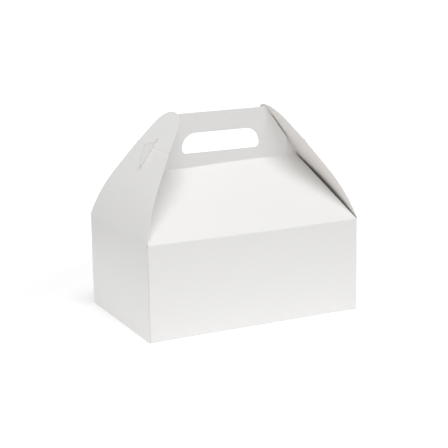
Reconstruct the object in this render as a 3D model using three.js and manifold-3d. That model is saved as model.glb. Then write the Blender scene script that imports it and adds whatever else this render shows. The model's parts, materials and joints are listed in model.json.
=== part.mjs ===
// A closed gable box folded from one sheet of white board: four walls, a crossed bottom, two sloping
// roof panels that run up into a carrying handle, and two end flaps that hook onto the handle's tabs.
// Millimetres, +Z up, +X along the box. The origin is under the middle of the box, on the ground.

import * as THREE from "three";
import { mergeVertices } from "three/addons/utils/BufferGeometryUtils.js";
import Module from "manifold-3d";

// Driving dimensions.
const boxLength = 229;
const boxDepth = 152;
const wallHeight = 94.5;
const roofRise = 56.5;
const handleRise = 52.5;
const board = 0.5;
const cornerRadius = 1;

// Clearances: between pieces that move, between the two handle panels, between layers of the bottom.
const runningGap = 0.3;
const handleGap = 0.3;
const layerGap = 0.2;
const flapToHandle = 1.2;

// End flap: it leans in at its fold, bends further over its lower part, and turns a little at a crease.
const flapFootLean = THREE.MathUtils.degToRad(14);
const flapUpperLean = THREE.MathUtils.degToRad(33);
const flapCreaseTurn = THREE.MathUtils.degToRad(2.5);
const flapBendLength = 55;
const creaseAboveRidge = 20.9;
const peakAboveHandle = 2.5;
const peakRadius = 31.5;
const flapFootSlope = 0.3;
const flapSideSlope = 0.5;
const flapFootRelief = 0.6;

// Locking tabs at the handle's ends, and the slits that they pass through. Heights are above the ridge.
const tabFoot = 4.6;
const tabTop = 28;
const tabReachLow = 6;
const tabReachHigh = 8.2;
const slitEndGap = 1.3;
const slitSideGap = 0.35;
const slitPull = 1.4;
const slitHalfPulled = 0.25;
const slitFullyPulled = 0.62;

// The tab's outline: it starts just outside the flap, and its foot, shoulder and top are rounded.
const tabStart = 0.5;
const tabFootLip = 0.1;
const tabFootRound = 1.4;
const tabFootInset = 1.5;
const tabShoulder = 0.5;
const tabTopRound = 2.6;

// Hand hole, the same in both handle panels.
const holeLength = 86;
const holeHeight = 20;
const holeAboveRidge = 12.1;
const holeLowCorner = 5;
const holeHighCorner = 15;

// How far the closed box bows: its long walls at the eaves, and the handle's ends beside the tabs,
// where the bow starts, peaks and ends at these distances from the end flap.
const wallBulge = 1.8;
const wallBulgeFoot = 10;
const wallBulgeToGlue = 2;
const handleBow = 3.2;
const handleBowStart = 42;
const handleBowPeak = 20;
const handleBowEnd = 7;

// Bottom panels, each hinged on its own wall: reaches are measured in from the wall.
const frontPanelReach = 64;
const tongueReach = 98;
const tongueHalfWidth = 44;
const tongueTaper = 4;
const backPanelReach = 84;
const recessDepth = 14;
const recessSideGap = 3;
const endPanelReach = 60;
const endPanelTaper = 26;
const panelRamp = 7;
const frontPanelGap = 1;
const panelGap = 2;
const glueFlapWidth = 14;
const glueFlapTaper = 5;

// Sizes that follow from those.
const halfLength = boxLength / 2;
const halfDepth = boxDepth / 2;
const ridgeHeight = wallHeight + roofRise;
const handleTop = ridgeHeight + handleRise;
const handleFace = handleGap / 2 + board;
const bendRadius = flapBendLength / (flapUpperLean - flapFootLean);
const creaseLean = flapUpperLean + flapCreaseTurn;
const ridgeTabFoot = ridgeHeight + tabFoot;
const ridgeTabTop = ridgeHeight + tabTop;
const flapCrease = ridgeHeight + creaseAboveRidge;
const flapPeak = handleTop + peakAboveHandle;

// How pieces join, how far cutting shapes reach past what they cut, and how finely curves are drawn.
const overlap = 3;
const cornerLeg = 2;
const margin = 1;
const weldDistance = 1e-5;
const mergeDistance = 0.004;
const bendSpacing = 16;
const lengthSteps = 24;
const foldPieces = 3;
const arcPieces = 8;
const tabPieces = 18;
const flapSidePieces = 12;
const halvings = 40;

const wasm = await Module();
wasm.setup();

const xAxis = new THREE.Vector3(1, 0, 0);
const yAxis = new THREE.Vector3(0, 1, 0);
const zAxis = new THREE.Vector3(0, 0, 1);

// Turns a closed geometry into a solid that can be joined and cut.
function solidFrom(geometry) {
  geometry.deleteAttribute("normal");
  geometry.deleteAttribute("uv");
  const merged = mergeVertices(geometry, weldDistance);
  const vertProperties = new Float32Array(merged.attributes.position.array);
  const triVerts = new Uint32Array(merged.index.array);
  return new wasm.Manifold(new wasm.Mesh({ numProp: 3, vertProperties, triVerts }));
}

// Turns a solid back into a geometry, without the slivers that joins leave.
function geometryFrom(solid) {
  const mesh = solid.simplify(mergeDistance).getMesh();
  const geometry = new THREE.BufferGeometry();
  geometry.setAttribute("position", new THREE.BufferAttribute(mesh.vertProperties, 3));
  geometry.setIndex(Array.from(mesh.triVerts));
  geometry.computeVertexNormals();
  return geometry;
}

// A prism with its outline in the plane of two axes, from one distance to another along the third.
function prism(shape, across, up, along, from, to, steps = 1) {
  const geometry = new THREE.ExtrudeGeometry(shape, {
    depth: to - from,
    steps,
    bevelEnabled: false,
    curveSegments: arcPieces,
  });
  geometry.translate(0, 0, from);
  geometry.applyMatrix4(new THREE.Matrix4().makeBasis(across, up, along));
  return geometry;
}

// Outlines drawn from the side (y, z), from the front (x, z) and from above (x, y).
const alongX = (shape, from, to, steps) => prism(shape, yAxis, zAxis, xAxis, from, to, steps);
const alongY = (shape, from, to) => prism(shape, xAxis, zAxis, yAxis.clone().negate(), -to, -from);
const alongZ = (shape, from, to) => prism(shape, xAxis, yAxis, zAxis, from, to);

const outline = (points) => new THREE.Shape(points.map(([a, b]) => new THREE.Vector2(a, b)));

// The middle line of a folded board: straight runs between corners, with each corner rounded.
// Runs that bow later are divided by a spacing.
function foldedLine(corners, reach, spacing = Infinity) {
  const path = new THREE.Path();
  const points = corners.map(([a, b]) => new THREE.Vector2(a, b));
  path.moveTo(points[0].x, points[0].y);
  for (let i = 1; i < points.length - 1; i += 1) {
    const before = points[i - 1].clone().sub(points[i]).setLength(reach).add(points[i]);
    const after = points[i + 1].clone().sub(points[i]).setLength(reach).add(points[i]);
    path.lineTo(before.x, before.y);
    path.quadraticCurveTo(points[i].x, points[i].y, after.x, after.y);
  }
  path.lineTo(points.at(-1).x, points.at(-1).y);
  const line = [points[0]];
  for (const curve of path.curves) {
    const straight = curve.type === "LineCurve";
    const pieces = straight ? Math.ceil(curve.getLength() / spacing) || 1 : foldPieces;
    line.push(...curve.getPoints(pieces).slice(1));
  }
  return line;
}

// The outline of a board of even thickness whose middle follows a line.
function thickened(line) {
  const left = [];
  const right = [];
  line.forEach((point, i) => {
    const ahead = line[Math.min(i + 1, line.length - 1)].clone().sub(line[Math.max(i - 1, 0)]);
    const side = new THREE.Vector2(-ahead.y, ahead.x).setLength(board / 2);
    left.push(point.clone().add(side));
    right.push(point.clone().sub(side));
  });
  return new THREE.Shape([...left, ...right.reverse()]);
}

// The end flap's outer face at a height above its fold: how far in it is, and how much it leans there.
function flapAt(up) {
  const bendHeight = bendRadius * (Math.sin(flapUpperLean) - Math.sin(flapFootLean));
  const bendInward = bendRadius * (Math.cos(flapFootLean) - Math.cos(flapUpperLean));
  const creaseHeight = flapCrease - wallHeight;
  if (up < bendHeight) {
    const lean = Math.asin(Math.sin(flapFootLean) + up / bendRadius);
    const along = bendRadius * (lean - flapFootLean);
    return { inward: bendRadius * (Math.cos(flapFootLean) - Math.cos(lean)), lean, along };
  }
  const straight = Math.min(up, creaseHeight) - bendHeight;
  const above = Math.max(up - creaseHeight, 0);
  return {
    inward: bendInward + straight * Math.tan(flapUpperLean) + above * Math.tan(creaseLean),
    lean: up > creaseHeight ? creaseLean : flapUpperLean,
    along: flapBendLength + straight / Math.cos(flapUpperLean) + above / Math.cos(creaseLean),
  };
}

// A point beside the flap's outer face, seen from the front: at a height, and some way outside it.
function besideFlap(height, outside) {
  const { inward, lean } = flapAt(height - wallHeight);
  return [
    halfLength - inward + outside * Math.cos(lean),
    height + outside * Math.sin(lean),
  ];
}

// A point on the edge that a long panel keeps inside the end flap, at a height.
function insideFlap(height) {
  const { inward, lean } = flapAt(height - wallHeight);
  return [halfLength - inward - (board + flapToHandle) / Math.cos(lean), height];
}

// Heights at which the flap is sampled, with a point at its crease.
function flapHeights(from, to) {
  const heights = [from];
  for (let height = from + bendSpacing / 2; height < flapCrease - margin; height += bendSpacing / 2) {
    heights.push(height);
  }
  return [...heights, flapCrease, to];
}

// The right-hand edge of a long panel, from its foot up over the roof and the handle, with its tab.
function panelEdge() {
  const tab = new THREE.SplineCurve([
    besideFlap(ridgeTabFoot, tabStart),
    besideFlap(ridgeTabFoot + tabFootLip, tabReachLow - tabFootInset),
    besideFlap(ridgeTabFoot + tabFootRound, tabReachLow),
    besideFlap((ridgeTabFoot + flapCrease) / 2, (tabReachLow + tabReachHigh) / 2),
    besideFlap(flapCrease + tabShoulder, tabReachHigh),
    besideFlap(ridgeTabTop - tabTopRound, tabReachHigh / 2),
    besideFlap(ridgeTabTop, tabStart),
  ].map(([x, z]) => new THREE.Vector2(x, z)));
  return [
    [halfLength - cornerRadius, board],
    [halfLength - cornerRadius, wallHeight],
    insideFlap(ridgeHeight),
    insideFlap(ridgeTabFoot),
    ...tab.getPoints(tabPieces).map((point) => [point.x, point.y]),
    insideFlap(ridgeTabTop),
    insideFlap(handleTop),
  ];
}

// The hand hole: tight lower corners and wide upper ones.
function handHole() {
  const half = holeLength / 2;
  const low = ridgeHeight + holeAboveRidge;
  const high = low + holeHeight;
  const hole = new THREE.Shape();
  hole.moveTo(-half + holeLowCorner, low);
  hole.lineTo(half - holeLowCorner, low);
  hole.absarc(half - holeLowCorner, low + holeLowCorner, holeLowCorner, -Math.PI / 2, 0);
  hole.absarc(half - holeHighCorner, high - holeHighCorner, holeHighCorner, 0, Math.PI / 2);
  hole.absarc(-half + holeHighCorner, high - holeHighCorner, holeHighCorner, Math.PI / 2, Math.PI);
  hole.absarc(-half + holeLowCorner, low + holeLowCorner, holeLowCorner, Math.PI, Math.PI * 1.5);
  return hole;
}

// How far a long panel bows out of its own plane, at a place seen from the front.
function outwardBow(x, z) {
  const { smoothstep } = THREE.MathUtils;
  const flatEnd = halfLength - glueFlapWidth - wallBulgeToGlue;
  const across = Math.max(1 - (x / flatEnd) ** 2, 0) ** 2;
  const upWall = smoothstep(z, wallBulgeFoot, wallHeight);
  const upRoof = smoothstep(z, wallHeight, ridgeHeight);
  const eaves = z < wallHeight ? upWall : 1 - upRoof;
  const toFlap = besideFlap(Math.max(z, ridgeHeight), 0)[0] - Math.abs(x);
  const rise = 1 - smoothstep(toFlap, handleBowPeak, handleBowStart);
  const fall = smoothstep(toFlap, handleBowEnd, handleBowPeak);
  const below = smoothstep(z, ridgeHeight - roofRise / 2, ridgeHeight);
  const above = 1 - smoothstep(z, ridgeHeight, handleTop);
  return wallBulge * across * eaves + handleBow * rise * fall * Math.min(below, above);
}

// One long side: wall, roof panel and handle panel in one bent strip, trimmed to its outline.
function longSide() {
  const outer = halfDepth - board / 2;
  const middle = (handleGap + board) / 2;
  const section = foldedLine(
    [[-outer, board], [-outer, wallHeight], [-middle, ridgeHeight], [-middle, handleTop]],
    2 * board,
    bendSpacing,
  );
  const strip = alongX(thickened(section), -halfLength, halfLength, lengthSteps);
  const position = strip.attributes.position;
  for (let i = 0; i < position.count; i += 1) {
    position.setY(i, position.getY(i) - outwardBow(position.getX(i), position.getZ(i)));
  }
  const right = panelEdge();
  const left = right.map(([x, z]) => [-x, z]).reverse();
  const reach = halfDepth + wallBulge + margin;
  const trim = solidFrom(alongY(outline([...right, ...left]), -reach, 0));
  const hole = solidFrom(alongY(handHole(), -halfDepth, halfDepth));
  return solidFrom(strip).intersect(trim).subtract(hole);
}

// The rounded corner between two walls, with a short leg along each of them.
function wallCorner() {
  const centreX = halfLength - cornerRadius;
  const centreY = halfDepth - cornerRadius;
  const corner = new THREE.Shape();
  corner.moveTo(centreX - cornerLeg, halfDepth);
  corner.lineTo(centreX - cornerLeg, halfDepth - board);
  corner.lineTo(centreX, halfDepth - board);
  corner.absarc(centreX, centreY, cornerRadius - board, Math.PI / 2, 0, true);
  corner.lineTo(halfLength - board, centreY - cornerLeg);
  corner.lineTo(halfLength, centreY - cornerLeg);
  corner.absarc(centreX, centreY, cornerRadius, 0, Math.PI / 2);
  return solidFrom(alongZ(corner, board, wallHeight - runningGap / 2));
}

// An end wall between two corners. Its top stops just under the end flap's fold.
function endWall() {
  const half = halfDepth - cornerRadius;
  const top = wallHeight - runningGap / 2;
  const wall = outline([[-half, board], [half, board], [half, top], [-half, top]]);
  return solidFrom(alongX(wall, halfLength - board, halfLength));
}

// A bottom panel's section, seen along its fold: down the wall, round the fold and up to its layer.
// The first number of each corner is the distance in from the wall's outer face.
function panelLine(layer, reach, tail = []) {
  const level = board / 2 + layer * (board + layerGap);
  const ramp = layer > 0 ? [[panelRamp, level]] : [];
  return foldedLine(
    [[board / 2, board + overlap], [board / 2, board / 2], ...ramp, [reach, level], ...tail],
    board,
  );
}

// Keeps what lies inside an outline seen from above, up to half the height of the walls.
function cutToPlan(solid, plan) {
  return solid.intersect(solidFrom(alongZ(outline(plan), -margin, wallHeight / 2)));
}

// The front bottom panel lies outermost, and its tongue climbs through the back panel's recess.
function frontPanel() {
  const tongueLevel = board / 2 + 3 * (board + layerGap);
  const climb = frontPanelReach + panelRamp;
  const line = panelLine(0, frontPanelReach, [[climb, tongueLevel], [tongueReach, tongueLevel]]);
  const section = thickened(line.map(({ x, y }) => new THREE.Vector2(x - halfDepth, y)));
  const side = halfLength - panelRamp - frontPanelGap;
  const bevel = tongueHalfWidth + panelRamp;
  const middle = frontPanelReach / 2 - halfDepth;
  const edge = frontPanelReach - halfDepth;
  const tip = tongueReach - halfDepth + margin;
  const right = [
    [side, -halfDepth - margin], [side, middle], [bevel, edge], [tongueHalfWidth, edge],
    [tongueHalfWidth - tongueTaper, tip],
  ];
  const left = right.map(([x, y]) => [-x, y]).reverse();
  return cutToPlan(solidFrom(alongX(section, -side, side)), [...right, ...left]);
}

// The back bottom panel lies over the end panels, with a recess in its free edge for the tongue.
function backPanel() {
  const line = panelLine(2, backPanelReach);
  const section = thickened(line.map(({ x, y }) => new THREE.Vector2(halfDepth - x, y)));
  const side = halfLength - board - panelGap;
  const recess = tongueHalfWidth + recessSideGap;
  const edge = halfDepth - backPanelReach;
  const left = [
    [-side, halfDepth + margin], [-side, edge + recessDepth], [-recess - recessDepth, edge - margin],
    [-recess, edge - margin], [-recess, edge + recessDepth],
  ];
  const right = left.map(([x, y]) => [-x, y]).reverse();
  return cutToPlan(solidFrom(alongX(section, -side, side)), [...left, ...right]);
}

// An end bottom panel lies between the other two, narrowing away from its wall.
function endPanel() {
  const line = panelLine(1, endPanelReach);
  const section = thickened(line.map(({ x, y }) => new THREE.Vector2(halfLength - x, y)));
  const side = halfDepth - board - panelGap;
  const backSide = halfDepth - panelRamp - panelGap;
  const wall = halfLength + margin;
  const ramp = halfLength - panelRamp;
  const free = halfLength - endPanelReach - margin;
  return cutToPlan(solidFrom(alongY(section, -side, side)), [
    [wall, -side], [wall, backSide], [ramp, backSide], [free, side - endPanelTaper],
    [free, endPanelTaper - side], [ramp, -side],
  ]);
}

// The flap that joins the sheet into a ring, glued inside the back wall at the right-hand corner.
function glueFlap() {
  const outer = halfLength - board / 2;
  const inner = halfLength - board - glueFlapWidth;
  const low = board + overlap;
  const high = wallHeight - overlap;
  const plate = outline([
    [outer, low], [outer, high], [inner, high - glueFlapTaper], [inner, low + glueFlapTaper],
  ]);
  return solidFrom(alongY(plate, halfDepth - 2 * board, halfDepth - board / 2));
}

const turned = (solid) => solid.rotate([0, 0, 180]);

// The carton: everything of the folded sheet that stays still when the box is opened.
function carton() {
  const pieces = [longSide(), turned(longSide())];
  for (const end of [wallCorner(), wallCorner().mirror([0, 1, 0]), endWall(), endPanel()]) {
    pieces.push(end, end.mirror([1, 0, 0]));
  }
  pieces.push(frontPanel(), backPanel(), glueFlap());
  return pieces.reduce((whole, piece) => whole.add(piece));
}

// The end flap's outline laid over the side view: convex sides that close in a round peak.
function flapOutline() {
  const flatTop = flapAt(flapPeak - wallHeight).along;
  const turn = Math.atan(flapSideSlope);
  const foot = halfDepth - flapFootRelief;
  const shoulder = new THREE.Vector2(
    peakRadius * Math.cos(turn), flatTop - peakRadius * (1 - Math.sin(turn)),
  );
  const lift = (shoulder.x + flapSideSlope * shoulder.y - foot) / (flapSideSlope - flapFootSlope);
  const side = new THREE.QuadraticBezierCurve(
    new THREE.Vector2(foot, 0), new THREE.Vector2(foot - flapFootSlope * lift, lift), shoulder,
  );
  const round = new THREE.EllipseCurve(
    0, flatTop - peakRadius, peakRadius, peakRadius, turn, Math.PI / 2,
  );
  const flat = [...side.getPoints(flapSidePieces), ...round.getPoints(arcPieces).slice(1)];
  const half = flat.map(({ x, y }) => [x, heightAlong(y)]);
  half[0][1] = wallHeight + runningGap / 2;
  return outline([...half, ...half.slice(0, -1).map(([y, z]) => [-y, z]).reverse()]);
}

// The height of the point that lies a given way up the flat flap from its fold.
function heightAlong(along) {
  let low = 0;
  let high = 2 * (flapPeak - wallHeight);
  for (let i = 0; i < halvings; i += 1) {
    const middle = (low + high) / 2;
    if (flapAt(middle).along < along) {
      low = middle;
    } else {
      high = middle;
    }
  }
  return wallHeight + low;
}

// The slit, laid over the side view: narrow beside its ends, and pulled open towards the front
// below the crease, where the front panel's bow pushes on it.
function slit() {
  const half = handleFace + slitSideGap;
  const low = ridgeTabFoot - slitEndGap;
  const high = ridgeTabTop + slitEndGap;
  const opened = new THREE.SplineCurve([
    [-half, flapCrease],
    [-half - slitPull, THREE.MathUtils.lerp(low, flapCrease, slitFullyPulled)],
    [-half - slitPull / 2, THREE.MathUtils.lerp(low, flapCrease, slitHalfPulled)],
    [-half, low + half / 2],
  ].map(([y, z]) => new THREE.Vector2(y, z)));
  return outline([
    [-half / 2, low], [half / 2, low], [half, low + half / 2], [half, high - half / 2],
    [half / 2, high], [-half / 2, high], [-half, high - half / 2],
    ...opened.getPoints(arcPieces).map(({ x, y }) => [x, y]),
  ]);
}

// An end flap at the right (side 1) or the left (side -1), bent along its profile and trimmed.
function endFlap(side) {
  const foot = wallHeight + runningGap / 2;
  const heights = flapHeights(foot, flapPeak + margin);
  const face = (depth) => heights.map((height) => besideFlap(height, -depth));
  const section = [...face(0), ...face(board).reverse()].map(([x, z]) => [side * x, z]);
  const strip = solidFrom(alongY(outline(section), -halfDepth, halfDepth));
  const ends = [side * margin, side * (halfLength + margin)].sort((a, b) => a - b);
  const trim = solidFrom(alongX(flapOutline(), ...ends));
  const opening = solidFrom(alongX(slit(), ...ends));
  return strip.intersect(trim).subtract(opening);
}

const whiteBoard = new THREE.MeshStandardMaterial({ color: 0xf0f0ed, roughness: 0.6, metalness: 0 });

function namedMesh(name, solid) {
  const mesh = new THREE.Mesh(geometryFrom(solid), whiteBoard.clone());
  mesh.name = name;
  return mesh;
}

const gableBox = new THREE.Group();
gableBox.add(
  namedMesh("carton_body", carton()),
  namedMesh("end_flap_left", endFlap(-1)),
  namedMesh("end_flap_right", endFlap(1)),
);

export default gableBox;
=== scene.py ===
"""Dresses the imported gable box: one sheet of white coated board, creased, folded and slightly bowed.

Each panel is drawn flat, bent along its folds, and given the board's thickness. Shapes are worked out
in millimetres and turned into Blender's metres when a mesh is made. The front is at negative y. On a
flat panel the first number runs across it and the second along the folded strip.
"""
import json
import math

import bpy
import numpy as np
from mathutils import Matrix, Vector
from mathutils.geometry import delaunay_2d_cdt


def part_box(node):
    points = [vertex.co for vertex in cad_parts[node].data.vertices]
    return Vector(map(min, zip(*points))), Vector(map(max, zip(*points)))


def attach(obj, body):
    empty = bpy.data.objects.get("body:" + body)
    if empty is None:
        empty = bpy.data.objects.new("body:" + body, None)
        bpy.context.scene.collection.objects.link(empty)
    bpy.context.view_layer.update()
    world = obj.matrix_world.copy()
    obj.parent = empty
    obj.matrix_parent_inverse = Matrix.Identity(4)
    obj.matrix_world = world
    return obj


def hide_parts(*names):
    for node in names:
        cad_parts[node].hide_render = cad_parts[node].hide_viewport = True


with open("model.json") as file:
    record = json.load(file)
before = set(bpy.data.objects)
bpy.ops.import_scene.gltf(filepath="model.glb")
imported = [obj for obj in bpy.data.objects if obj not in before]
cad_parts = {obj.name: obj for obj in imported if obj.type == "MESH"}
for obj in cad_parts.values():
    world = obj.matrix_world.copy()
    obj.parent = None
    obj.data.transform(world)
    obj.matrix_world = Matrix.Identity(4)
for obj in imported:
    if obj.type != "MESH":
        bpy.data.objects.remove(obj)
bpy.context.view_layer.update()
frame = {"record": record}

MM = 0.001

# The box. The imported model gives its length, its walls' height and its handle's top.
body_high = np.array(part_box("carton_body")[1]) / MM
hinge = frame["record"]["behaviour"]["joints"][0]["pos_m"]
HALF_LENGTH = body_high[0]
HALF_DEPTH = 76.0
WALL_HEIGHT = abs(hinge[2]) / MM
RIDGE = WALL_HEIGHT + 56.5
HANDLE_TOP = body_high[2]
BOARD = 0.5
CORNER = 1.0
CORNER_BLEND = 6.0
WALL_BULGE = 1.8
BULGE_TO_GLUE = 2.0
HANDLE_GAP = 0.3
FLAP_TO_HANDLE = 1.2

# The end flaps: their lean at the fold and above the bend, their crease and their outline.
FOOT_LEAN = math.radians(14)
UPPER_LEAN = math.radians(33)
BEND_LENGTH = 55.0
CREASE = RIDGE + 20.9
CREASE_TURN = math.radians(2.5)
CREASE_DEPTH = 0.18
CREASE_WIDTH = 0.7
PEAK = HANDLE_TOP + 2.5
PEAK_RADIUS = 31.5
FOOT_SLOPE = 0.3
SIDE_SLOPE = 0.5
FOOT_RELIEF = 0.2
SIDE_POINTS = 49
PEAK_POINTS = 25

# The locking tabs: their heights, their reaches outside the flap, and the rounding of their corners.
TAB_FOOT = RIDGE + 4.6
TAB_TOP = RIDGE + 28
TAB_START = 0.5
TAB_REACH_LOW = 6.0
TAB_REACH_HIGH = 8.2
TAB_LIP = 0.8
TAB_LIP_SHARE = 0.6
TAB_FOOT_ROUND = 4.0
TAB_SHOULDER = 0.5
TAB_TOP_ROUND = 2.6
TAB_STEPS = 6

# The slits round the tabs. A pull opens a slit towards the front, by shares of its height.
SLIT_END_GAP = 1.3
SLIT_SIDE_GAP = 0.35
SLIT_HALF = HANDLE_GAP / 2 + BOARD + SLIT_SIDE_GAP
SLIT_PULLS = {"left": 1.0, "right": 0.3}
SLIT_HALF_PULLED = 0.25
SLIT_FULLY_PULLED = 0.62
SLIT_STEPS = 5

# The hand hole.
HOLE_HALF = 43.0
HOLE_LOW = RIDGE + 12.1
HOLE_HIGH = HOLE_LOW + 20
HOLE_LOW_CORNER = 5.0
HOLE_HIGH_CORNER = 15.0
HOLE_ARC_POINTS = 13

# The bottom panels, in layers from the lowest, and the glue flap.
FRONT_LAYER, END_LAYER, BACK_LAYER, TONGUE_LAYER = range(4)
LAYER_GAP = 0.2
PANEL_GAP = 2.0
FRONT_PANEL_GAP = 1.0
RAMP = 7.0
FRONT_REACH = 64.0
TONGUE_REACH = 98.0
TONGUE_HALF = 44.0
TONGUE_TAPER = 4.0
TONGUE_TIP = 3.0
BACK_REACH = 84.0
RECESS_DEPTH = 14.0
RECESS_SIDE_GAP = 3.0
RECESS_HALF = TONGUE_HALF + RECESS_SIDE_GAP
END_REACH = 60.0
END_TAPER = 26.0
GLUE_WIDTH = 14.0
GLUE_TAPER = 5.0
GLUE_INSET = 3.0
GLUE_LAYER = 0.05

# The bends in the handle's ends: from a soft bend the board runs forwards to a sharp one, then back to the
# tab's root inside the flap. The tab holds it there, and above the tab it is free.
SOFT_BEND_FOOT = 46.0
SOFT_BEND_TOP = 52.0
BEND_SLOPE = math.tan(math.radians(13))
SOFTNESS = 5.0
SHARP_BEND = 72.0
TAB_ROOT = 1.5
HELD_BELOW = TAB_TOP - 2
FREE_ABOVE = TAB_TOP + 10
BEND_INTO_ROOF = 17.0

# The fan-shaped dip in a roof panel, by angle up from the eave, in degrees: it deepens, then rises again.
# It runs out towards the ridge and a little above it.
DIP_ANGLES = np.linspace(0, 90, 181)
DIP_START = 26
DIP_STEEP = 44
DIP_TURN = 49
DIP_RISE = 58
DIP_SLOPE = 0.32
RISE_SLOPE = DIP_SLOPE * 0.8
HELD_BY_RIDGE = 0.75
RIDGE_HOLD_START = 50.0
RIDGE_HOLD_END = 94.0
DIP_ABOVE_RIDGE = 6.6

# How finely the sheet is divided, and how tightly it folds.
SPACING = 3.0
EDGE_CLEARANCE = 0.9
SHORTEST_EDGE = 0.02
FOLD_REACH = 1.0
FOLD_ROWS = 6
FOLD_CLEARANCE = 1.3
FINE_COLUMNS = 5
FINE_CLEARANCE = 2.0
FINE_STEP = 4.0
NORMAL_STEP = 0.02
ROW_DECIMALS = 5
WELD_DECIMALS = 2
MERGE_DISTANCE = 1e-7
TINY = 1e-6

# The board's fine surface: fibres, and broad clouds of slightly different gloss.
BOARD_SPECULAR = 0.35
FIBRE_SCALE = 900
FIBRE_DETAIL = 4
FIBRE_RANGE = (0.35, 0.6)
CLOUD_SCALE = 35
CLOUD_DETAIL = 3
CLOUD_RANGE = (0.3, 0.7)
GLOSS_SPREAD = 0.05
RELIEF_HEIGHT = 0.0001

# The photograph's camera, its distances in millimetres.
AZIMUTH = math.radians(-25.89)
ELEVATION = math.radians(13.48)
ROLL = math.radians(-0.87)
DISTANCE = 1293.1
AIM_RIGHT = 0.607
AIM_UP = 84.3
LENS = 100.29
SENSOR = 36
SIGHT = 40

# The light and the floor, in metres. The floor glows beside the box, in the distance and in front.
ROOM_LIGHT = 0.56
OVERHEAD_POWER = 21.0
OVERHEAD_PLACE = (-0.12, -0.6, 2.1)
OVERHEAD_SIZE = 1.2
OVERHEAD_AIM = (0, 0, 0.1)
FLOOR_WHITE = 0.9
FLOOR_ROUGHNESS = 0.9
FLOOR_LIGHT_NEAR = 0.14
FLOOR_LIGHT_FAR = 0.6
NEAR_TO_FAR = (0.2, 0.5)
FLOOR_LIGHT_FRONT = 0.12
FRONT_CENTRE = (0, -0.2, 0)
FRONT_FADE = (0.1, 0.4)
FLOOR_NEAR_RADIUS = 0.35
FLOOR_FAR_RADIUS = 15.0
FLOOR_SIDES = 64


def smooth(value, start, end):
    """Runs smoothly from 0 at start to 1 at end."""
    t = np.clip((np.asarray(value, float) - start) / (end - start), 0, 1)
    return t * t * (3 - 2 * t)


# The end flap's profile.
BEND_RADIUS = BEND_LENGTH / (UPPER_LEAN - FOOT_LEAN)
BEND_HEIGHT = BEND_RADIUS * (math.sin(UPPER_LEAN) - math.sin(FOOT_LEAN))
CREASE_LEAN = UPPER_LEAN + CREASE_TURN
CREASE_ALONG = BEND_LENGTH + (CREASE - WALL_HEIGHT - BEND_HEIGHT) / math.cos(UPPER_LEAN)


def flap_face(along):
    """The flap's outer face at a distance from its fold: how far in, how high and how much it leans."""
    along = np.asarray(along, float)
    lean = FOOT_LEAN + np.clip(along, 0, BEND_LENGTH) / BEND_RADIUS
    straight = np.clip(along, BEND_LENGTH, CREASE_ALONG) - BEND_LENGTH
    above = np.maximum(along - CREASE_ALONG, 0)
    inward = (BEND_RADIUS * (math.cos(FOOT_LEAN) - np.cos(lean))
              + straight * math.sin(UPPER_LEAN) + above * math.sin(CREASE_LEAN))
    height = (BEND_RADIUS * (np.sin(lean) - math.sin(FOOT_LEAN))
              + straight * math.cos(UPPER_LEAN) + above * math.cos(CREASE_LEAN))
    return inward, height + WALL_HEIGHT, np.where(above > 0, CREASE_LEAN, lean)


# Distances up the flap, to past its peak, with the heights that they reach.
ALONG = np.linspace(0, 140, 561)
ALONG_HEIGHT = flap_face(ALONG)[1]


def along_at(height):
    """The distance up the flap at which its face reaches a height."""
    return np.interp(height, ALONG_HEIGHT, ALONG)


def beside_flap(height, outside):
    """A point beside the right flap's outer face, seen from the front."""
    inward, up, lean = flap_face(along_at(height))
    return HALF_LENGTH - inward + outside * np.cos(lean), up + outside * np.sin(lean)


def inside_flap(height):
    """How far out a long panel reaches at a height, inside the flap."""
    inward, _, lean = flap_face(along_at(height))
    return HALF_LENGTH - inward - (BOARD + FLAP_TO_HANDLE) / np.cos(lean)


def folded(corners, reach):
    """A board's middle line: a polyline whose corners are rounded over a reach to either side.

    Returns a function of distance along the line and of the share of the reach, and the distances of
    the corners."""
    corners = np.array(corners, float)
    runs = np.diff(corners, axis=0)
    lengths = np.hypot(runs[:, 0], runs[:, 1])
    starts = np.concatenate([[0], np.cumsum(lengths)])
    ways = runs / lengths[:, None]

    def at(distance, share):
        run = np.clip(np.searchsorted(starts, distance, side="right") - 1, 0, len(lengths) - 1)
        point = corners[run] + ways[run] * (distance - starts[run])[:, None]
        half = np.maximum(reach * share, TINY)
        for i in range(1, len(corners) - 1):
            t = (distance - starts[i] + half) / (2 * half)
            near = (t > 0) & (t < 1)
            before = corners[i] - ways[i - 1] * half[near, None]
            after = corners[i] + ways[i] * half[near, None]
            t = t[near, None]
            point[near] = (1 - t) ** 2 * before + 2 * t * (1 - t) * corners[i] + t ** 2 * after
        return point

    return at, starts


def rows_between(breaks, folds):
    """Row positions: evenly spaced between breaks, and close together around each fold."""
    rows = set()
    for low, high in zip(breaks[:-1], breaks[1:]):
        count = math.ceil((high - low) / SPACING)
        rows.update(np.round(np.linspace(low, high, count + 1), ROW_DECIMALS))
    for fold in folds:
        rows = {row for row in rows if abs(row - fold) > FOLD_CLEARANCE or row in breaks}
        rows.update(np.round(fold + np.linspace(-1, 1, 2 * FOLD_ROWS + 1) * FOLD_REACH, ROW_DECIMALS))
    return np.array(sorted(row for row in rows if breaks[0] <= row <= breaks[-1]))


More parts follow.
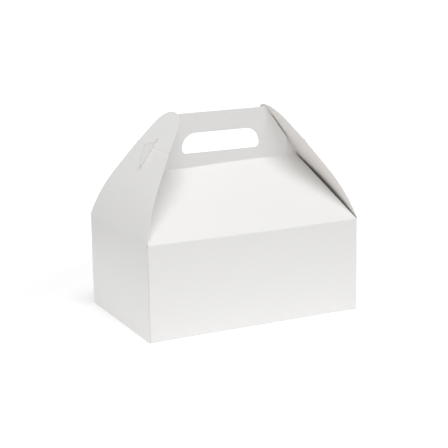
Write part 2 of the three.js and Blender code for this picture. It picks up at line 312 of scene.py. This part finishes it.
def split_edges(loop, rows):
    """Divides a loop's edges where they cross a row, and its level edges at the spacing."""
    points = []
    for start, end in zip(loop, np.roll(loop, -1, axis=0)):
        length = np.hypot(*(end - start))
        if length < TINY:
            continue
        rise = end[1] - start[1]
        shares = [0.0]
        if abs(rise) > TINY:
            shares += [(row - start[1]) / rise for row in rows]
        else:
            count = math.ceil(length / SPACING)
            shares += list(np.arange(1, count) / count)
        shares = sorted(share for share in shares if 0 <= share < 1 - TINY)
        kept = [shares[0]]
        for share in shares[1:]:
            if (share - kept[-1]) * length > SHORTEST_EDGE:
                kept.append(share)
        points += [start + (end - start) * share for share in kept]
    return np.array(points)


def inside_loop(points, loop):
    """Which points lie inside a closed loop."""
    x = points[:, 0][:, None]
    y = points[:, 1][:, None]
    start_x, start_y = loop.T
    end_x, end_y = np.roll(loop, -1, axis=0).T
    straddles = (start_y > y) != (end_y > y)
    run = np.where(end_y == start_y, 1, end_y - start_y)
    crossing = straddles & (x < (end_x - start_x) * (y - start_y) / run + start_x)
    return crossing.sum(axis=1) % 2 == 1


def edge_distance(points, loop):
    """How far each point lies from the nearest edge of a loop."""
    run = np.roll(loop, -1, axis=0) - loop
    offset = points[:, None] - loop
    share = np.clip((offset * run).sum(2) / (run * run).sum(1), 0, 1)
    return np.linalg.norm(offset - share[..., None] * run, axis=2).min(axis=1)


def inside_outline(points, loops):
    """Which points lie inside the first loop and outside the others, which are holes."""
    inside = inside_loop(points, loops[0])
    for hole in loops[1:]:
        inside &= ~inside_loop(points, hole)
    return inside


def grid_points(loop, rows, near):
    """Points on every row across a loop, closer together at the places across it that near lists."""
    low, high = loop[:, 0].min(), loop[:, 0].max()
    columns = np.linspace(low, high, math.ceil((high - low) / SPACING) + 1)
    for middle in near:
        columns = columns[np.abs(columns - middle) > FINE_CLEARANCE]
        columns = np.concatenate([columns, middle + np.linspace(-1, 1, FINE_COLUMNS) * FOLD_REACH])
    return np.array([(column, row) for row in rows for column in columns])


def filled(loops, rows, near):
    """Fills an outline, less its holes, with triangles. Returns flat points and corner numbers."""
    grid = grid_points(loops[0], rows, near)
    keep = inside_outline(grid, loops)
    for loop in loops:
        keep &= edge_distance(grid, loop) > EDGE_CLEARANCE
    flat = np.concatenate([*loops, grid[keep]])
    edges = []
    start = 0
    for loop in loops:
        edges += [(start + i, start + (i + 1) % len(loop)) for i in range(len(loop))]
        start += len(loop)
    result = delaunay_2d_cdt([Vector(point) for point in flat], edges, [], 0, MERGE_DISTANCE, False)
    flat = np.array([tuple(point) for point in result[0]])
    triangles = np.array([face for face in result[2] if len(face) == 3])
    return flat, triangles[inside_outline(flat[triangles].mean(axis=1), loops)]


def outward(x, s, place):
    """The bent sheet's outward directions, from small steps across and along it."""
    across = place(x + NORMAL_STEP, s) - place(x - NORMAL_STEP, s)
    along = place(x, s + NORMAL_STEP) - place(x, s - NORMAL_STEP)
    normals = np.cross(across, along)
    return normals / np.linalg.norm(normals, axis=1)[:, None]


def welded(points, normals, triangles):
    """Joins points that meet, averages their directions, and turns every triangle to face outwards."""
    _, first, joined = np.unique(np.round(points, WELD_DECIMALS), axis=0, return_index=True,
                                 return_inverse=True)
    joined = joined.reshape(-1)
    shared = np.zeros((len(first), 3))
    np.add.at(shared, joined, normals)
    shared /= np.linalg.norm(shared, axis=1)[:, None]
    points = points[first]
    a, b, c = joined[triangles].T
    triangles = joined[triangles][(a != b) & (b != c) & (a != c)]
    corners = points[triangles]
    facing = np.cross(corners[:, 1] - corners[:, 0], corners[:, 2] - corners[:, 0])
    flip = (facing * shared[triangles].mean(axis=1)).sum(axis=1) < 0
    triangles[flip] = triangles[flip][:, ::-1]
    return points, shared, triangles


def rim_edges(triangles):
    """The edges that only one triangle has."""
    edges = np.concatenate([triangles[:, [0, 1]], triangles[:, [1, 2]], triangles[:, [2, 0]]]).tolist()
    paired = {(a, b) for a, b in edges}
    return [(a, b) for a, b in edges if (b, a) not in paired]


class Sheet:
    """A sheet of board, gathered patch by patch as a middle surface and thickened at the end."""

    def __init__(self):
        self.points = []
        self.normals = []
        self.triangles = []
        self.count = 0

    def add(self, loop, holes, rows, place, turned=False, near=()):
        """Fills a flat outline with triangles and bends it into place, or turned half round.

        near lists the places across the sheet that need finer triangles."""
        loops = [split_edges(np.array(one, float), rows) for one in [loop, *holes]]
        flat, triangles = filled(loops, rows, near)
        points = place(*flat.T)
        normals = outward(*flat.T, place)
        if turned:
            points[:, :2] *= -1
            normals[:, :2] *= -1
        self.points.append(points)
        self.normals.append(normals)
        self.triangles.append(triangles + self.count)
        self.count += len(points)

    def mesh(self, name):
        """Makes the Blender mesh: a coated face, a plain face, and the cut edge between them."""
        points, normals, triangles = welded(
            np.concatenate(self.points), np.concatenate(self.normals), np.concatenate(self.triangles),
        )
        inner = triangles[:, ::-1]
        rim = rim_edges(triangles)
        count = len(points)
        faces = triangles.tolist()
        faces += (inner + count).tolist()
        faces += [(b, a, a + count, b + count) for a, b in rim]
        both_faces = np.concatenate([points + normals * BOARD / 2, points - normals * BOARD / 2])
        mesh = bpy.data.meshes.new(name)
        mesh.from_pydata((both_faces * MM).tolist(), [], faces)
        slots = np.repeat([0, 1, 2], [len(triangles), len(inner), len(rim)])
        mesh.polygons.foreach_set("material_index", slots)
        mesh.polygons.foreach_set("use_smooth", np.ones(len(faces), bool))
        mesh.update()
        rim_normals = [mesh.polygons[i].normal for i in range(2 * len(triangles), len(faces))]
        corner_normals = np.concatenate([
            normals[triangles].reshape(-1, 3),
            -normals[inner].reshape(-1, 3),
            np.repeat(np.array(rim_normals), 4, axis=0),
        ])
        mesh.normals_split_custom_set(corner_normals.tolist())
        return mesh


def piece_from(sheet, name, body, node):
    """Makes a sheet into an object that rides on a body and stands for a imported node."""
    mesh = sheet.mesh(name)
    for material in (coated_board(), plain_board(), cut_edge()):
        mesh.materials.append(material)
    piece = bpy.data.objects.new(name, mesh)
    bpy.context.scene.collection.objects.link(piece)
    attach(piece, body)
    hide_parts(node)
    return piece


# Materials.
def noise(tree, place, scale, detail):
    """A noise texture that is fixed to its piece."""
    texture = tree.nodes.new("ShaderNodeTexNoise")
    texture.inputs["Scale"].default_value = scale
    texture.inputs["Detail"].default_value = detail
    tree.links.new(place.outputs["Object"], texture.inputs["Vector"])
    return texture.outputs["Fac"]


def map_range(tree, value, span, at_start, at_end, kind="LINEAR"):
    """Turns a value that runs over a span into one that runs from at_start to at_end."""
    node = tree.nodes.new("ShaderNodeMapRange")
    node.interpolation_type = kind
    node.inputs["From Min"].default_value = span[0]
    node.inputs["From Max"].default_value = span[1]
    node.inputs["To Min"].default_value = at_start
    node.inputs["To Max"].default_value = at_end
    tree.links.new(value, node.inputs["Value"])
    return node.outputs["Result"]


def board_material(name, colour, roughness, relief, mottling):
    """White board with faintly darker fibres, a slightly uneven gloss and a fine relief."""
    if name in bpy.data.materials:
        return bpy.data.materials[name]
    material = bpy.data.materials.new(name)
    material.use_nodes = True
    tree = material.node_tree
    shader = tree.nodes["Principled BSDF"]
    shader.inputs["Specular IOR Level"].default_value = BOARD_SPECULAR
    place = tree.nodes.new("ShaderNodeTexCoord")
    fibres = noise(tree, place, FIBRE_SCALE, FIBRE_DETAIL)
    clouds = noise(tree, place, CLOUD_SCALE, CLOUD_DETAIL)
    mix = tree.nodes.new("ShaderNodeMix")
    mix.data_type = "RGBA"
    mix.inputs["A"].default_value = (*(channel * (1 - mottling) for channel in colour), 1)
    mix.inputs["B"].default_value = (*colour, 1)
    tree.links.new(map_range(tree, fibres, FIBRE_RANGE, 0, 1), mix.inputs["Factor"])
    tree.links.new(mix.outputs["Result"], shader.inputs["Base Color"])
    gloss = map_range(tree, clouds, CLOUD_RANGE, roughness - GLOSS_SPREAD, roughness + GLOSS_SPREAD)
    tree.links.new(gloss, shader.inputs["Roughness"])
    bump = tree.nodes.new("ShaderNodeBump")
    bump.inputs["Strength"].default_value = relief
    bump.inputs["Distance"].default_value = RELIEF_HEIGHT
    tree.links.new(fibres, bump.inputs["Height"])
    tree.links.new(bump.outputs["Normal"], shader.inputs["Normal"])
    return material


def coated_board():
    """The sheet's outer face, coated with clay."""
    return board_material("coated_board", (0.89, 0.884, 0.873), roughness=0.4, relief=0.12, mottling=0.012)


def plain_board():
    """The sheet's inner face, left uncoated."""
    return board_material("plain_board", (0.93, 0.9, 0.87), roughness=0.8, relief=0.4, mottling=0.03)


def cut_edge():
    """The board's raw edge."""
    return board_material("cut_edge", (0.92, 0.9, 0.86), roughness=0.85, relief=0.5, mottling=0.05)


# The long sides.
def wall_bulge(x, z):
    """How far a long wall and its roof bow outwards around the eaves."""
    across = np.maximum(1 - (x / (HALF_LENGTH - GLUE_WIDTH - BULGE_TO_GLUE)) ** 2, 0) ** 2
    below = (np.clip(z, 0, WALL_HEIGHT) / WALL_HEIGHT) ** 2
    above = 1 - smooth(z, WALL_HEIGHT, RIDGE)
    return WALL_BULGE * across * np.where(z < WALL_HEIGHT, below, above)


def handle_bow(x, z):
    """How far the handle's ends run forwards, from a soft bend to a sharp one, then back to the tab."""
    x = np.abs(x)
    height = np.maximum(z, RIDGE)
    soft_bend = np.interp(height, [RIDGE, HANDLE_TOP], [SOFT_BEND_FOOT, SOFT_BEND_TOP])
    past = np.maximum(x - soft_bend, 0)
    ramp = BEND_SLOPE * np.where(past < SOFTNESS, past ** 2 / (2 * SOFTNESS), past - SOFTNESS / 2)
    root = beside_flap(height, -TAB_ROOT)[0]
    held = 1 - smooth(height, HELD_BELOW, FREE_ABOVE)
    back = np.clip((root - x) / np.maximum(root - SHARP_BEND, TAB_ROOT), 0, 1)
    above_roof = smooth(z, RIDGE - BEND_INTO_ROOF, RIDGE)
    return ramp * above_roof * (back * held + 1 - held)


def dip_depths():
    """The dip's depth at each of its angles, for each millimetre out from the panel's lower corner."""
    down = DIP_SLOPE * smooth(DIP_ANGLES, DIP_START, DIP_STEEP)
    up = (DIP_SLOPE + RISE_SLOPE) * smooth(DIP_ANGLES, DIP_TURN, DIP_RISE)
    return np.cumsum(down - up) * math.radians(DIP_ANGLES[1])


DIP_DEPTHS = dip_depths()


def roof_dip(x, up):
    """How deep a roof panel dips beside its left end, at a distance up from the eave along the panel."""
    from_end = HALF_LENGTH - CORNER + x
    up = np.maximum(up, TINY)
    angle = np.degrees(np.arctan2(up, from_end))
    depth = np.interp(angle, DIP_ANGLES, DIP_DEPTHS) * np.hypot(up, from_end)
    return depth * (1 - HELD_BY_RIDGE * smooth(up, RIDGE_HOLD_START, RIDGE_HOLD_END))


def near_corner(x):
    """1 over most of a long wall's width, falling to 0 at its corners, where folds turn sharp."""
    return 1 - smooth(np.abs(x), HALF_LENGTH - CORNER - CORNER_BLEND, HALF_LENGTH - CORNER)


def level(layer):
    """The middle height of a layer of the bottom."""
    return BOARD / 2 + layer * (BOARD + LAYER_GAP)


def mirrored(right):
    """Closes an outline whose right-hand edge is given from bottom to top."""
    right = np.array(right, float)
    return np.concatenate([right, right[::-1] * (-1, 1)])


def arc(x, z, radius, begin, end, count):
    """Points round a circle, between two angles in degrees."""
    turns = np.radians(np.linspace(begin, end, count))
    return np.stack([x + radius * np.cos(turns), z + radius * np.sin(turns)], axis=1)


def hand_hole(ridge):
    """The hand hole's outline on the flat panel, whose ridge fold lies at the given distance along it."""
    low = HOLE_LOW - RIDGE + ridge + HOLE_LOW_CORNER
    high = HOLE_HIGH - RIDGE + ridge - HOLE_HIGH_CORNER
    outer = HOLE_HALF - HOLE_LOW_CORNER
    inner = HOLE_HALF - HOLE_HIGH_CORNER
    return np.concatenate([
        arc(outer, low, HOLE_LOW_CORNER, -90, 0, HOLE_ARC_POINTS),
        arc(inner, high, HOLE_HIGH_CORNER, 0, 90, HOLE_ARC_POINTS),
        arc(-inner, high, HOLE_HIGH_CORNER, 90, 180, HOLE_ARC_POINTS),
        arc(-outer, low, HOLE_LOW_CORNER, 180, 270, HOLE_ARC_POINTS),
    ])


def spline(points, count):
    """A smooth curve through points, in so many steps from each to the next."""
    points = np.array(points, float)
    padded = np.concatenate([[2 * points[0] - points[1]], points, [2 * points[-1] - points[-2]]])
    curve = []
    for i in range(len(points) - 1):
        a, b, c, d = padded[i:i + 4]
        for t in np.linspace(0, 1, count, endpoint=False):
            curve.append(0.5 * (2 * b + (c - a) * t + (2 * a - 5 * b + 4 * c - d) * t ** 2
                                + (3 * b - a - 3 * c + d) * t ** 3))
    return np.array([*curve, points[-1]])


def tab_outline():
    """The locking tab at the right end of a handle panel, seen from the front."""
    middle = (TAB_FOOT + CREASE) / 2
    return spline([
        beside_flap(TAB_FOOT, TAB_START),
        beside_flap(TAB_FOOT + TAB_LIP, TAB_REACH_LOW * TAB_LIP_SHARE),
        beside_flap(TAB_FOOT + TAB_FOOT_ROUND, TAB_REACH_LOW),
        beside_flap(middle, (TAB_REACH_LOW + TAB_REACH_HIGH) / 2),
        beside_flap(CREASE + TAB_SHOULDER, TAB_REACH_HIGH),
        beside_flap(TAB_TOP - TAB_TOP_ROUND, TAB_REACH_HIGH / 2),
        beside_flap(TAB_TOP, TAB_START),
    ], TAB_STEPS)


def long_side(sheet, bottom, bottom_edge, turned):
    """Adds a bottom panel, wall, roof panel and handle panel, folded from one strip."""
    outer = HALF_DEPTH - BOARD / 2
    middle = (HANDLE_GAP + BOARD) / 2
    line, starts = folded(
        [*bottom, (outer, BOARD / 2), (outer, WALL_HEIGHT), (middle, RIDGE), (middle, HANDLE_TOP)],
        FOLD_REACH,
    )
    bottom_folds = starts[1:-4]
    foot, eaves, ridge, top = starts[-4:]

    def place(x, s):
        out, z = line(s, near_corner(x)).T
        bow = np.where(s > foot, wall_bulge(x, z) + handle_bow(x, z), 0)
        fading = 1 - smooth(s, ridge, ridge + DIP_ABOVE_RIDGE)
        dip = roof_dip(x, np.clip(s, eaves, ridge) - eaves) * fading
        return np.stack([x, -(out + bow), z - dip], axis=1)

    side = HALF_LENGTH - CORNER
    outline = [
        *bottom_edge(foot), (side, foot), (side, eaves),
        *((inside_flap(z), ridge + z - RIDGE) for z in (RIDGE, TAB_FOOT)),
        *((x, ridge + z - RIDGE) for x, z in tab_outline()),
        *((inside_flap(z), ridge + z - RIDGE) for z in (TAB_TOP, HANDLE_TOP)),
    ]
    rows = rows_between([0, *bottom_folds, foot, eaves, ridge, top], [*bottom_folds, foot, eaves, ridge])
    bends = (SHARP_BEND, SHARP_BEND - FINE_STEP, SHARP_BEND + FINE_STEP)
    near = [end * bend for end in (-1, 1) for bend in bends]
    sheet.add(mirrored(outline), [hand_hole(ridge)], rows, place, turned, near)


def front_bottom():
    """The outermost bottom panel's middle line, from its tongue to its fold, and its right edge."""
    line = [
        (HALF_DEPTH - TONGUE_REACH, level(TONGUE_LAYER)),
        (HALF_DEPTH - FRONT_REACH - RAMP, level(TONGUE_LAYER)),
        (HALF_DEPTH - FRONT_REACH, level(FRONT_LAYER)),
    ]
    side = HALF_LENGTH - RAMP - FRONT_PANEL_GAP

    def edge(foot):
        panel = foot - FRONT_REACH
        return [
            (TONGUE_HALF - 2 * TONGUE_TAPER, 0), (TONGUE_HALF - TONGUE_TAPER, TONGUE_TIP),
            (TONGUE_HALF, panel), (TONGUE_HALF + RAMP, panel),
            (side, foot - FRONT_REACH / 2), (side, foot),
        ]

    return line, edge


def back_bottom():
    """The innermost bottom panel's middle line, and its right edge with half of its recess."""
    line = [(HALF_DEPTH - BACK_REACH, level(BACK_LAYER)), (HALF_DEPTH - RAMP, level(BACK_LAYER))]
    side = HALF_LENGTH - BOARD - PANEL_GAP

    def edge(foot):
        return [
            (RECESS_HALF, RECESS_DEPTH), (RECESS_HALF, 0), (RECESS_HALF + RECESS_DEPTH, 0),
            (side, RECESS_DEPTH), (side, foot),
        ]

    return line, edge


def end_wall(sheet, turned):
    """Adds an end wall with its bottom panel and the rounded corners at its two sides."""
    outer = HALF_LENGTH - BOARD / 2
    line, starts = folded(
        [(HALF_LENGTH - END_REACH, level(END_LAYER)), (HALF_LENGTH - RAMP, level(END_LAYER)),
         (outer, BOARD / 2), (outer, WALL_HEIGHT)],
        FOLD_REACH,
    )
    ramp, foot, eaves = starts[1:]
    flat = HALF_DEPTH - CORNER
    radius = CORNER - BOARD / 2
    width = flat + radius * math.pi / 2
    side = HALF_DEPTH - BOARD - PANEL_GAP
    back_side = HALF_DEPTH - RAMP - PANEL_GAP
    narrow = side - END_TAPER

    def place(u, s):
        x, z = line(s, 1 - smooth(np.abs(u), flat - CORNER_BLEND, flat)).T
        turn = np.maximum(np.abs(u) - flat, 0) / radius
        y = np.sign(u) * (np.minimum(np.abs(u), flat) + radius * np.sin(turn))
        return np.stack([x - radius * (1 - np.cos(turn)), y, z], axis=1)

    loop = [
        (-narrow, 0), (narrow, 0), (back_side, ramp), (back_side, foot), (width, foot),
        (width, eaves), (-width, eaves), (-width, foot), (-side, foot), (-side, ramp),
    ]
    sheet.add(loop, [], rows_between([0, ramp, foot, eaves], [ramp, foot, eaves]), place, turned)


def glue_flap(sheet):
    """Adds the glue flap inside the back wall, at its left end seen from the front."""
    outer = BOARD - HALF_LENGTH
    inner = outer + GLUE_WIDTH
    low = BOARD + GLUE_INSET
    high = WALL_HEIGHT - GLUE_INSET
    middle = HALF_DEPTH - BOARD * 1.5 - GLUE_LAYER

    def place(x, z):
        return np.stack([x, np.full_like(x, middle), z], axis=1)

    loop = [(outer, low), (outer, high), (inner, high - GLUE_TAPER), (inner, low + GLUE_TAPER)]
    sheet.add(loop, [], rows_between([low, high], []), place)


def carton():
    """The part of the sheet that stays still: two long sides, two end walls and the glue flap."""
    sheet = Sheet()
    long_side(sheet, *front_bottom(), turned=False)
    long_side(sheet, *back_bottom(), turned=True)
    end_wall(sheet, turned=False)
    end_wall(sheet, turned=True)
    glue_flap(sheet)
    return piece_from(sheet, "carton_sheet", "carton", "carton_body")


# The end flaps.
def flap_outline():
    """The flat flap's outline: two convex sides and a round peak."""
    top = along_at(PEAK)
    turn = math.atan(SIDE_SLOPE)
    foot = HALF_DEPTH - FOOT_RELIEF
    peak = arc(0, top - PEAK_RADIUS, PEAK_RADIUS, math.degrees(turn), 90, PEAK_POINTS)
    lift = (peak[0][0] + SIDE_SLOPE * peak[0][1] - foot) / (SIDE_SLOPE - FOOT_SLOPE)
    start = np.array([foot, 0])
    pull = np.array([foot - FOOT_SLOPE * lift, lift])
    side = [(1 - t) ** 2 * start + 2 * t * (1 - t) * pull + t ** 2 * peak[0]
            for t in np.linspace(0, 1, SIDE_POINTS)]
    right = np.array([*side, *peak[1:]])
    return np.concatenate([right, right[:-1][::-1] * (-1, 1)])


def slit_outline(front, pull):
    """The slit in the flat flap, pulled open towards the front, which is the side of that sign."""
    low = along_at(TAB_FOOT - SLIT_END_GAP)
    high = along_at(TAB_TOP + SLIT_END_GAP)
    span = CREASE_ALONG - low
    end = SLIT_HALF / 2
    opened = spline([
        (SLIT_HALF, low + end),
        (SLIT_HALF + pull / 2, low + span * SLIT_HALF_PULLED),
        (SLIT_HALF + pull, low + span * SLIT_FULLY_PULLED),
        (SLIT_HALF, CREASE_ALONG),
    ], SLIT_STEPS)
    loop = [
        (-end, low), (end, low), *opened, (SLIT_HALF, high - end),
        (end, high), (-end, high), (-SLIT_HALF, high - end), (-SLIT_HALF, low + end),
    ]
    return np.array(loop) * (front, 1)


def flap_place(u, s):
    """Bends the flat right-hand flap along its profile, with its crease pressed in."""
    inward, height, lean = flap_face(s)
    depth = BOARD / 2 + CREASE_DEPTH * np.exp(-((s - CREASE_ALONG) / CREASE_WIDTH) ** 2)
    below_fold = np.minimum(s, 0)
    return np.stack([
        HALF_LENGTH - inward - depth * np.cos(lean),
        u,
        height + below_fold - depth * np.sin(lean),
    ], axis=1)


def end_flap(side):
    """An end flap. The left one is the right one turned round, so its front is the other side."""
    sheet = Sheet()
    rows = rows_between([0, CREASE_ALONG, float(along_at(PEAK))], [CREASE_ALONG])
    name = "right" if side > 0 else "left"
    sheet.add(flap_outline(), [slit_outline(-side, SLIT_PULLS[name])], rows, flap_place, side < 0)
    return piece_from(sheet, f"end_flap_{name}_sheet", f"{name}_flap", f"end_flap_{name}")


# The view: the photograph's camera, on a white floor in soft light.
def camera():
    """The photograph's camera, worked out from its azimuth, elevation, roll and distance."""
    back = Vector((
        math.sin(AZIMUTH) * math.cos(ELEVATION),
        -math.cos(AZIMUTH) * math.cos(ELEVATION),
        math.sin(ELEVATION),
    ))
    level_right = Vector((math.cos(AZIMUTH), math.sin(AZIMUTH), 0))
    level_up = back.cross(level_right)
    right = level_right * math.cos(ROLL) + level_up * math.sin(ROLL)
    up = level_up * math.cos(ROLL) - level_right * math.sin(ROLL)
    data = bpy.data.cameras.new("camera")
    data.lens = LENS
    data.sensor_width = SENSOR
    data.clip_end = SIGHT
    eye = bpy.data.objects.new("camera", data)
    turn = Matrix((right, up, back)).transposed().to_4x4()
    place = (back * DISTANCE + right * AIM_RIGHT + up * AIM_UP) * MM
    eye.matrix_world = Matrix.Translation(place) @ turn
    bpy.context.scene.collection.objects.link(eye)
    bpy.context.scene.camera = eye


def floor_material():
    """White floor that glows by itself, more so in front of the box and in the distance."""
    material = bpy.data.materials.new("white_floor")
    material.use_nodes = True
    tree = material.node_tree
    shader = tree.nodes["Principled BSDF"]
    shader.inputs["Base Color"].default_value = (FLOOR_WHITE, FLOOR_WHITE, FLOOR_WHITE, 1)
    shader.inputs["Roughness"].default_value = FLOOR_ROUGHNESS
    shader.inputs["Specular IOR Level"].default_value = 0
    shader.inputs["Emission Color"].default_value = (1, 1, 1, 1)
    place = tree.nodes.new("ShaderNodeTexCoord")
    total = tree.nodes.new("ShaderNodeMath")
    total.operation = "ADD"
    glows = (
        ((0, 0, 0), NEAR_TO_FAR, FLOOR_LIGHT_NEAR, FLOOR_LIGHT_FAR),
        (FRONT_CENTRE, FRONT_FADE, FLOOR_LIGHT_FRONT, 0),
    )
    for socket, (centre, span, at_start, at_end) in zip(total.inputs, glows):
        reach = tree.nodes.new("ShaderNodeVectorMath")
        reach.operation = "DISTANCE"
        reach.inputs[1].default_value = centre
        tree.links.new(place.outputs["Object"], reach.inputs[0])
        glow = map_range(tree, reach.outputs["Value"], span, at_start, at_end, "SMOOTHSTEP")
        tree.links.new(glow, socket)
    tree.links.new(total.outputs["Value"], shader.inputs["Emission Strength"])
    return material


def floor():
    """A round floor, and its white distance, which is only for the eye and doesn't light the box."""
    material = floor_material()
    turns = np.linspace(0, 2 * math.pi, FLOOR_SIDES, endpoint=False)
    circle = np.stack([np.cos(turns), np.sin(turns), 0 * turns], axis=1)
    near_points = circle * FLOOR_NEAR_RADIUS
    far_points = np.concatenate([near_points, circle * FLOOR_FAR_RADIUS])
    near_faces = [tuple(range(FLOOR_SIDES))]
    far_faces = [(i, i + FLOOR_SIDES, (i + 1) % FLOOR_SIDES + FLOOR_SIDES, (i + 1) % FLOOR_SIDES)
                 for i in range(FLOOR_SIDES)]
    for name, points, faces in (("floor", near_points, near_faces), ("distance", far_points, far_faces)):
        data = bpy.data.meshes.new(name)
        data.from_pydata(points.tolist(), [], faces)
        data.materials.append(material)
        ground = bpy.data.objects.new(name, data)
        bpy.context.scene.collection.objects.link(ground)
        ground.visible_diffuse = name == "floor"
        ground.visible_glossy = name == "floor"


def daylight():
    """Even white surroundings, and a large round light overhead, a little to the front."""
    world = bpy.data.worlds.new("white_room")
    world.use_nodes = True
    background = world.node_tree.nodes["Background"]
    background.inputs["Color"].default_value = (1, 1, 1, 1)
    background.inputs["Strength"].default_value = ROOM_LIGHT
    bpy.context.scene.world = world
    data = bpy.data.lights.new("overhead", "AREA")
    data.shape = "DISK"
    data.size = OVERHEAD_SIZE
    data.energy = OVERHEAD_POWER
    light = bpy.data.objects.new("overhead", data)
    light.location = OVERHEAD_PLACE
    towards_box = Vector(OVERHEAD_AIM) - Vector(OVERHEAD_PLACE)
    light.rotation_euler = towards_box.to_track_quat("-Z", "Y").to_euler()
    bpy.context.scene.collection.objects.link(light)
    bpy.context.scene.view_settings.view_transform = "Standard"


carton()
end_flap(-1)
end_flap(1)
camera()
floor()
daylight()
